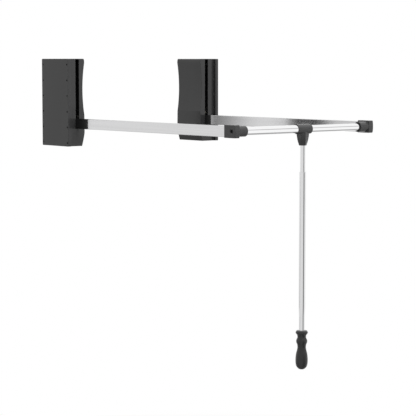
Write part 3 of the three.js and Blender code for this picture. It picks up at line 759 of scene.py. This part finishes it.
class CLOSET_OT_covers(bpy.types.Operator):
    """Build the two waisted covers with the slots for the arms"""

    bl_idname = "closet.covers"
    bl_label = "Covers"

    def execute(self, context):
        sizes = context.scene.closet_housing
        low, high = COVER
        wall = sizes.cover_wall
        past = 5 * MM
        side_gap, under_gap, behind_gap = 0.5 * MM, 0.7 * MM, 2 * MM
        cover = cover_skin(0, low.x, low.y, high.y, sizes.cover_round, "left_cover_skin")
        hollow = cover_skin(wall, low.x - past, low.y + wall, high.y - wall, 1.8 * MM, "tool", 3)
        slot = block(
            (LEVER[0].x - side_gap, low.y - past, -LEVER_HALF - under_gap),
            (LEVER[1].x + side_gap, LEVER_HALF + behind_gap, high.z + past),
            corner=1.2 * MM,
            axis=1,
        )
        combine(cover, [hollow, slot])
        bevel_sharp_edges(cover, sizes.slot_edge, 50, 2)
        place_both(cover, "housing", "housing_plastic", "cover")
        return {"FINISHED"}


class CLOSET_OT_levers(bpy.types.Operator):
    """Build the black levers at the roots of the arms"""

    bl_idname = "closet.levers"
    bl_label = "Arm levers"

    def execute(self, context):
        sizes = context.scene.closet_arms
        low, high = LEVER
        half = LEVER_HALF
        boss_end, cheek_root = -22 * MM, -21 * MM
        short_cheek_end, tongue_end = -55.7 * MM, -60 * MM
        cheek = 0.9 * MM
        slack = 1.8 * MM
        lever = slab(lever_outline(), low.x, high.x, "left_arm_lever_skin")
        parts = [
            block((low.x, boss_end, -half), (high.x, 0, half)),
            block((low.x, low.y, -half), (low.x + cheek, cheek_root, half)),
            block((high.x - cheek, short_cheek_end, -half), (high.x, cheek_root, half)),
            block(
                (BAR[0].x + slack, tongue_end, -half + slack),
                (BAR[1].x - slack, cheek_root, half - slack),
            ),
        ]
        combine(lever, parts, "UNION")
        cutters = [
            drill(diameter * MM / 2, low.x - OVER, high.x + OVER, y, z, 40)
            for y, z, diameter in (
                (0, 0, 13.8), (CRANK_PIN, CRANK_PIN, 5.6), (RIVET_Y, RIVET_Z, 5.0),
                (RIVET_Y, -RIVET_Z, 5.0),
            )
        ]
        combine(lever, cutters)
        bevel_sharp_edges(lever, sizes.lever_edge, 50, 2)
        place_both(lever, "arm", "black_steel", "arm_lever")
        return {"FINISHED"}


class CLOSET_OT_bars(bpy.types.Operator):
    """Build the two hollow aluminium bars"""

    bl_idname = "closet.bars"
    bl_label = "Arm bars"

    def execute(self, context):
        sizes = context.scene.closet_arms
        low, high = BAR
        bar = block(low, high, "left_arm_bar_skin", sizes.bar_corner, 1, 5)
        inwards = Vector((sizes.bar_wall, -OVER, sizes.bar_wall))
        cutters = [block(low + inwards, high - inwards, "tool", 0.6 * MM, 1, 3)]
        for z in (RIVET_Z, -RIVET_Z):
            cutters.append(drill(2.5 * MM, low.x - OVER, high.x + OVER, RIVET_Y, z, 24))
        combine(bar, cutters)
        place_both(bar, "arm", "bar_aluminium", "arm_bar")
        return {"FINISHED"}


class CLOSET_OT_end_blocks(bpy.types.Operator):
    """Build the blocks that join the bars to the rod, and their screws"""

    bl_idname = "closet.end_blocks"
    bl_label = "End blocks"

    def execute(self, context):
        sizes = context.scene.closet_arms
        for side, body, tube in zip(SIDES, BODIES["arm"], (OUTER_TUBE, INNER_TUBE)):
            for piece, slot, node in (
                (self.end_block(sizes, tube), "fitting_plastic", f"{side}_end_block"),
                (self.block_screw(sizes), "black_steel", f"{side}_block_screw"),
            ):
                if side == "right":
                    mirror(piece)
                piece.name = f"{node}_skin"
                place(piece, body, slot, node)
        return {"FINISHED"}

    def end_block(self, sizes, tube):
        face, end = BLOCK[0].x, BLOCK[1].x
        inner_face = ARM_X + 8 * MM
        body = slab(block_outline(), face, inner_face, "end_block")
        bevel_sharp_edges(body, sizes.block_edge, 40, 4)
        radius = 14 * MM
        flare = sizes.socket_flare
        root = inner_face - 2 * MM
        profile = [(0, root), (radius + flare, root)]
        profile += [
            (radius + flare * (1 - up), inner_face - 0.01 * MM + flare * (1 - across))
            for across, up in quarter_turn(6)
        ]
        profile += rounded_profile(
            [(radius, end - 4 * MM, 0), (radius, end, 1), (0, end, 0)], 0.8 * MM
        )
        combine(body, [turned(profile, 72, ROD_LINE)], "UNION")
        seat = face + sizes.screw_recess
        floor = seat + 6 * MM
        bore = (tube[1].z - tube[0].z) / 2 + SLIP
        mouth, chamfer = 11.3 * MM, 0.6 * MM
        step_x = end - 3.4 * MM
        tube_bore = filled([
            (bore, floor), (bore, step_x), (mouth, step_x), (mouth, end - chamfer),
            (mouth + chamfer, end + 0.001 * MM), (mouth + chamfer, end + OVER),
        ])
        head, shank = 4.8 * MM, 2.3 * MM
        dish = head + sizes.recess_dish
        recess = filled([
            (dish, face - OVER), (dish, face), (head, face + 0.6 * sizes.recess_dish),
            (head, seat), (shank, seat), (shank, floor + OVER),
        ])
        pocket = block(
            BAR[0] - Vector((SLIP, SLIP, SLIP)),
            (BAR[1].x + SLIP, BLOCK[1].y + OVER, BAR[1].z + SLIP),
        )
        cutters = [turned(tube_bore, 72, ROD_LINE), turned(recess, 48, ROD_LINE), pocket]
        combine(body, cutters)
        return body

    def block_screw(self, sizes):
        face, tip = SCREW[0].x, SCREW[1].x
        radius, crest, root = 4.5 * MM, 2 * MM, 1.6 * MM
        under_head = face + 2.7 * MM
        profile = [(0, face)]
        profile += [
            (radius * up ** 0.8, face + 1.1 * MM * (1 - across))
            for across, up in quarter_turn(6)[1:]
        ]
        profile += [(radius, under_head), (crest, under_head)]
        turns = 9
        for turn in range(turns):
            x = under_head + 4 * MM + (tip - under_head - 6 * MM) * turn / turns
            profile += [(crest, x), (root, x + 0.6 * MM)]
        profile += [(root, tip - 1.5 * MM), (0, tip)]
        screw = turned(profile, 40, ROD_LINE, name="block_screw")
        long, wide = sizes.screw_cross / 2, 0.7 * MM
        cross = [
            block((face - OVER, ROD_Y - y, ROD_Z - z), (face + 1.4 * MM, ROD_Y + y, ROD_Z + z))
            for y, z in ((long, wide), (wide, long))
        ]
        combine(screw, cross)
        return screw


class CLOSET_OT_rod(bpy.types.Operator):
    """Build the two tubes of the telescopic rod"""

    bl_idname = "closet.rod"
    bl_label = "Telescopic rod"

    def execute(self, context):
        sizes = context.scene.closet_rod
        lip = sizes.tube_lip
        for node, tube, body in zip(
            ("outer_tube", "inner_tube"), (OUTER_TUBE, INNER_TUBE), BODIES["arm"]
        ):
            low, high = tube[0].x, tube[1].x
            outer = (tube[1].z - tube[0].z) / 2
            inner = outer - sizes.tube_wall
            profile = [(inner, low), (outer, low)]
            profile += [
                (outer - lip + lip * across, high - lip + lip * up)
                for across, up in quarter_turn(3)
            ]
            profile += [(inner, high), (inner, low)]
            piece = turned(profile, 96, ROD_LINE, name=f"{node}_skin")
            place(piece, body, "rod_chrome", node)
        return {"FINISHED"}


class CLOSET_OT_tee(bpy.types.Operator):
    """Build the ridged tee that carries the pull pole"""

    bl_idname = "closet.tee"
    bl_label = "Pull tee"

    def execute(self, context):
        sizes = context.scene.closet_rod
        left, right, foot = TEE[0].x, TEE[1].x, TEE[0].z
        foot_round = 3 * MM
        levels = []
        for step in range(13):
            down = step / 12
            inward = 0.34 * down + 0.66 * down ** 3
            levels.append(self.level(sizes, inward, ROD_Z - down * (ROD_Z - foot - foot_round)))
        for across, up in quarter_turn(4)[1:]:
            corners = self.level(sizes, 1, foot + foot_round * (1 - up))
            levels.append([self.drawn_in(corner, 1.2 * MM * (1 - across)) for corner in corners])
        tee = loft(levels, "pull_tee_skin")
        bevel_sharp_edges(tee, sizes.ridge_round, 18, 3)
        collar = pin_profile(13 * MM, left, right, sizes.collar_round)
        combine(tee, [turned(collar, 96, ROD_LINE)], "UNION")
        step_x = MIDDLE + 16.6 * MM
        wide, narrow, chamfer = 11.3 * MM, 9.9 * MM, 0.2 * MM
        bore = filled([
            (wide + chamfer, left - OVER), (wide + chamfer, left), (wide, left + chamfer),
            (wide, step_x), (narrow, step_x), (narrow, right + OVER),
        ])
        hole = THIN_RADIUS + SLIP
        rim = hole + SLIP
        roof = POLE_ROD[1].z + SLIP
        socket = filled([(rim, foot - OVER), (rim, foot), (hole, foot + SLIP), (hole, roof)])
        combine(tee, [turned(bore, 96, ROD_LINE), turned(socket, 64, POLE_LINE, "Z")])
        place(tee, "pull_pole", "fitting_plastic", "pull_tee")
        return {"FINISHED"}

    def level(self, sizes, inward, z):
        """Six corners of the stem at a height, the front and back ridges among them"""
        top_half = 17 * MM
        half = top_half + (sizes.foot_width / 2 - top_half) * inward
        side = (7.4 - 2.1 * inward) * MM
        depth = sizes.stem_depth / 2
        corners = (
            (0, -depth), (half, -side), (half, side), (0, depth), (-half, side), (-half, -side)
        )
        return [(MIDDLE + x, ROD_Y + y, z) for x, y in corners]

    def drawn_in(self, point, inset):
        flat = Vector((point[0] - MIDDLE, point[1] - ROD_Y))
        flat -= flat.normalized() * inset
        return (flat.x + MIDDLE, flat.y + ROD_Y, point[2])


class CLOSET_OT_pole(bpy.types.Operator):
    """Build the pull pole: its thin rod, its main tube and its grip"""

    bl_idname = "closet.pole"
    bl_label = "Pull pole"

    def execute(self, context):
        sizes = context.scene.closet_rod
        rod = pin_profile(THIN_RADIUS, POLE_ROD[0].z, POLE_ROD[1].z, 0.5 * MM)
        large = (POLE_TUBE[1].x - POLE_TUBE[0].x) / 2
        small = large - sizes.pole_inset
        inner = small - sizes.pole_wall
        bore = THIN_RADIUS + SLIP
        low, high = POLE_TUBE[0].z, POLE_TUBE[1].z
        grip_top, grip_low = GRIP[1].z, GRIP[0].z
        taper_low = grip_top + 36.4 * MM
        taper_high = taper_low + 29 * MM
        ease, soft = 4 * MM, 0.08 * MM
        tube = [
            (inner, low), (small, low), (small, taper_low), (small + soft, taper_low + ease),
            (large - soft, taper_high - ease), (large, taper_high),
        ]
        tube += rounded_profile(
            [(large, high - 3 * MM, 0), (large, high, 1), (bore, high, 0)], 0.45 * MM
        )
        tube += [(bore, taper_high), (inner, taper_low), (inner, low)]
        widest = (GRIP[1].x - GRIP[0].x) / 2
        outline = smooth_line(
            [
                (wide * widest, grip_top - down * (grip_top - grip_low))
                for down, wide in GRIP_OUTLINE_SHARES
            ],
            6,
        )
        socket, depth, chamfer = small + SLIP, 25 * MM, 0.6 * MM
        grip = [
            (0, grip_top - depth), (socket, grip_top - depth), (socket, grip_top - chamfer),
            (socket + chamfer, grip_top),
        ] + [(min(radius, widest), max(z, grip_low)) for radius, z in outline]
        for node, profile, steps, slot in (
            ("pole_rod", rod, 64, "pole_chrome"), ("pole_tube", tube, 64, "pole_chrome"),
            ("pole_grip", grip, 80, "grip_plastic"),
        ):
            place(turned(profile, steps, POLE_LINE, "Z", f"{node}_skin"), "pull_pole", slot, node)
        return {"FINISHED"}


NODE_FINISHES = {
    "zinc_steel": (
        "chassis", "chassis_screw_upper", "chassis_screw_lower", "pivot_pin", "pivot_clip",
        "pivot_spacer", "crank_pin", "arm_rivet_upper", "arm_rivet_lower", "guide_rod",
        "lift_spring", "damper_rod",
    ),
    "bush_plastic": ("pivot_bush", "tube_plug", "spring_carriage"),
    "black_steel": ("damper_body",),
    "bumper_rubber": ("lowered_bumper", "raised_bumper"),
}


class CLOSET_OT_mechanism(bpy.types.Operator):
    """Give the pieces inside the housings and the rod their finishes"""

    bl_idname = "closet.mechanism"
    bl_label = "Mechanism"

    def execute(self, context):
        for slot, nodes in NODE_FINISHES.items():
            for node in nodes:
                for side in SIDES:
                    self.finish(f"{side}_{node}", slot)
        self.finish("tube_end_bush", "fitting_plastic")
        return {"FINISHED"}

    def finish(self, node, slot):
        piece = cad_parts[node]
        material = finish_for(slot)
        if piece.material_slots:
            for material_slot in piece.material_slots:
                material_slot.material = material
        else:
            piece.data.materials.append(material)


# The room's reflected brightness at degrees of the compass turn, and what shades take from it:
# how much, shares at degrees of the turn, and heights in degrees where each starts and is full
ROOM_WALLS = [(0, 1), (13, 0.86), (112, 0.88), (122, 0.98), (168, 0.98), (174, 1), (360, 1)]
ROOM_SHADES = (
    (0.72, [(0, 1), (9, 1), (14, 0), (326, 0), (332, 1), (360, 1)], [(-1, -2.6)]),
    (0.71, [(0, 0), (114, 0), (120, 1), (128, 1), (135, 0), (360, 0)], [(-2.5, -6.5), (-15, -11)]),
    (0.66, [(0, 0), (176, 0), (184, 1), (282, 1), (306, 0), (360, 0)], [(-30, -48)]),
    (0.46, [(0, 0), (276, 0), (282, 1), (316, 1), (319, 0), (360, 0)], [(7, 13), (29, 23)]),
    (0.45, [(0, 0), (96, 0), (104, 1), (176, 1), (184, 0), (360, 0)], [(-13, -23)]),
)


class CLOSET_OT_studio(bpy.types.Operator):
    """Set up the camera, the pale floor and the soft light"""

    bl_idname = "closet.studio"
    bl_label = "Studio"

    def execute(self, context):
        settings = context.scene.closet_studio
        context.scene.view_settings.view_transform = "Standard"
        self.camera(context, settings)
        self.floor(settings)
        self.flag()
        self.world(context, settings)
        self.lamps(context)
        return {"FINISHED"}

    def camera(self, context, settings):
        data = bpy.data.cameras.new("camera")
        data.lens = settings.focal
        data.sensor_width = 36
        data.sensor_fit = "HORIZONTAL"
        data.clip_start = 0.05
        data.clip_end = 60
        camera = bpy.data.objects.new("camera", data)
        context.scene.collection.objects.link(camera)
        camera.location = settings.camera_place
        camera.rotation_euler = (pi / 2 - settings.camera_pitch, 0, -settings.camera_turn)
        context.scene.camera = camera

    def floor(self, settings):
        radius = settings.floor_radius
        bm = bmesh.new()
        bmesh.ops.create_circle(bm, cap_ends=True, radius=radius, segments=96)
        centre = Vector((RAIL_WIDTH / 2, ROD_Y / 2, -settings.floor_drop))
        bmesh.ops.translate(bm, vec=centre, verts=bm.verts)
        floor = object_from(bm, "studio_floor")
        finish = Finish("floor_paint", Roughness=0.9, Metallic=0.0, Specular_IOR_Level=0.1)
        paint = finish.cloudy(finish.noise(3.0, 3.0), (1, 1, 1), 0.93, 0.95)
        finish.feed(finish.shader.inputs["Base Color"], paint)
        away = finish.node("VectorMath", finish.place, centre, operation="DISTANCE")
        fade = finish.spread(away.outputs["Value"], 0, 1, 0.35 * radius, 0.9 * radius)
        white = finish.node("Emission", (1, 1, 1, 1), 1.0)
        mix = finish.mixed_shader(fade, finish.shader.outputs[0], white.outputs[0])
        finish.feed(finish.output.inputs["Surface"], mix)
        self.hide(floor, finish, "diffuse", "glossy")

    def hide(self, piece, finish, *rays):
        """Gives a piece of the studio its paint and hides it from kinds of ray"""
        piece.data.materials.append(finish.material)
        for ray in rays:
            setattr(piece, f"visible_{ray}", False)

    def flag(self):
        """A grey card beside the far arm, paler to the left, that only reflections show"""
        card = block((0.02, 0.3, -0.1), (0.222, 0.302, 0.06), "studio_flag")
        finish = Finish(
            "flag_paint", Roughness=0.9, Metallic=0.0, Specular_IOR_Level=0.0,
            Base_Color=(0.01, 0.01, 0.01, 1), Emission_Color=(1, 1, 1, 1),
        )
        across = finish.node("SeparateXYZ", finish.place)
        pale = finish.spread(across.outputs["X"], 0.2, 0.97, 0.2, 0.02)
        finish.feed(finish.shader.inputs["Emission Strength"], pale)
        self.hide(card, finish, "camera", "diffuse", "transmission", "shadow")

    def world(self, context, settings):
        """White where the camera looks, a plain studio for light and for reflections"""
        world = bpy.data.worlds.new("studio_world")
        context.scene.world = world
        nodes = Nodes(world)
        path = nodes.node("LightPath")
        soft, white, room = (
            nodes.node("Background", grey, strength).outputs[0]
            for grey, strength in (
                ((1, 1, 1, 1), settings.soft_light), ((1, 1, 1, 1), 1.0),
                (self.room_brightness(nodes), 1.0),
            )
        )
        shade = soft
        for ray, seen in (("Transmission", white), ("Glossy", room), ("Camera", white)):
            shade = nodes.mixed_shader(path.outputs[f"Is {ray} Ray"], shade, seen)
        nodes.node("OutputWorld", shade)

    def ramp(self, nodes, source, stops):
        """A grey value by the compass turn: stops are (degrees from the front, value)"""
        node = nodes.node("ValToRGB", source)
        node.color_ramp.interpolation = "EASE"
        stop_list = node.color_ramp.elements
        for at, (degrees, value) in enumerate(stops):
            stop = stop_list[at] if at < 2 else stop_list.new(degrees / 360)
            stop.position = degrees / 360
            stop.color = (value, value, value, 1)
        return node.outputs[0]

    def room_brightness(self, nodes):
        """Brightness of the studio by direction, with 0 degrees at the front, then left"""
        direction = nodes.node("TexCoord").outputs["Generated"]
        x, y, z = nodes.node("SeparateXYZ", direction).outputs
        left = nodes.math("MULTIPLY", x, -1.0)
        ahead = nodes.math("MULTIPLY", y, -1.0)
        turn = nodes.math("ARCTAN2", left, ahead)
        turn = nodes.math("DIVIDE", turn, 2 * pi)
        turn = nodes.math("FRACT", nodes.math("ADD", turn, 1.0), 0.0)
        level = self.ramp(nodes, turn, ROOM_WALLS)
        for depth, stops, heights in ROOM_SHADES:
            shade = self.ramp(nodes, turn, stops)
            for height in heights:
                start, full = (sin(radians(degrees)) for degrees in height)
                fall = nodes.spread(z, 0, 1, start, full, interpolation_type="SMOOTHSTEP")
                shade = nodes.math("MULTIPLY", shade, fall)
            shade = nodes.math("MULTIPLY", shade, depth)
            level = nodes.math("SUBTRACT", level, shade)
        return level

    def lamps(self, context):
        """Two square lamps aimed at the middle of the rod's frame"""
        target = Vector((RAIL_WIDTH / 2, ROD_Y / 2, -0.1))
        for name, spot, energy in (
            ("key_lamp", (0.3, -1.55, 2.03), 64), ("fill_lamp", (2.6, -1.6, 1.2), 8),
        ):
            data = bpy.data.lights.new(name, "AREA")
            data.shape = "SQUARE"
            data.size = 1.8
            data.energy = energy
            lamp = bpy.data.objects.new(name, data)
            lamp.visible_glossy = False
            context.scene.collection.objects.link(lamp)
            aim = (target - Vector(spot)).to_track_quat("-Z", "Y").to_matrix().to_4x4()
            lamp.matrix_world = Matrix.Translation(spot) @ aim


OPERATORS = (
    CLOSET_OT_studio,
    CLOSET_OT_wall_plates,
    CLOSET_OT_covers,
    CLOSET_OT_levers,
    CLOSET_OT_bars,
    CLOSET_OT_end_blocks,
    CLOSET_OT_rod,
    CLOSET_OT_tee,
    CLOSET_OT_pole,
    CLOSET_OT_mechanism,
)
GROUPS = {
    "closet_housing": HousingSizes,
    "closet_arms": ArmSizes,
    "closet_rod": RodSizes,
    "closet_finishes": FinishColours,
    "closet_studio": StudioSettings,
}


class CLOSET_PT_panel(bpy.types.Panel):
    """Lists the sizes and the pieces of the closet rod"""

    bl_idname = "CLOSET_PT_panel"
    bl_label = "Closet Rod"
    bl_space_type = "VIEW_3D"
    bl_region_type = "UI"
    bl_category = "Closet Rod"

    def draw(self, context):
        for name, group in GROUPS.items():
            section = self.layout.box()
            section.label(text=group.__doc__)
            for size in group.__annotations__:
                section.prop(getattr(context.scene, name), size)
        column = self.layout.column(align=True)
        for operator in OPERATORS:
            column.operator(operator.bl_idname)


def register():
    for group in GROUPS.values():
        bpy.utils.register_class(group)
    for name, group in GROUPS.items():
        setattr(bpy.types.Scene, name, bpy.props.PointerProperty(type=group))
    for operator in OPERATORS:
        bpy.utils.register_class(operator)
    bpy.utils.register_class(CLOSET_PT_panel)


def unregister():
    bpy.utils.unregister_class(CLOSET_PT_panel)
    for operator in reversed(OPERATORS):
        bpy.utils.unregister_class(operator)
    for name, group in GROUPS.items():
        delattr(bpy.types.Scene, name)
        bpy.utils.unregister_class(group)


def main():
    register()
    for operator in OPERATORS:
        getattr(bpy.ops.closet, operator.bl_idname.removeprefix("closet."))()


if __name__ == "__main__":
    main()
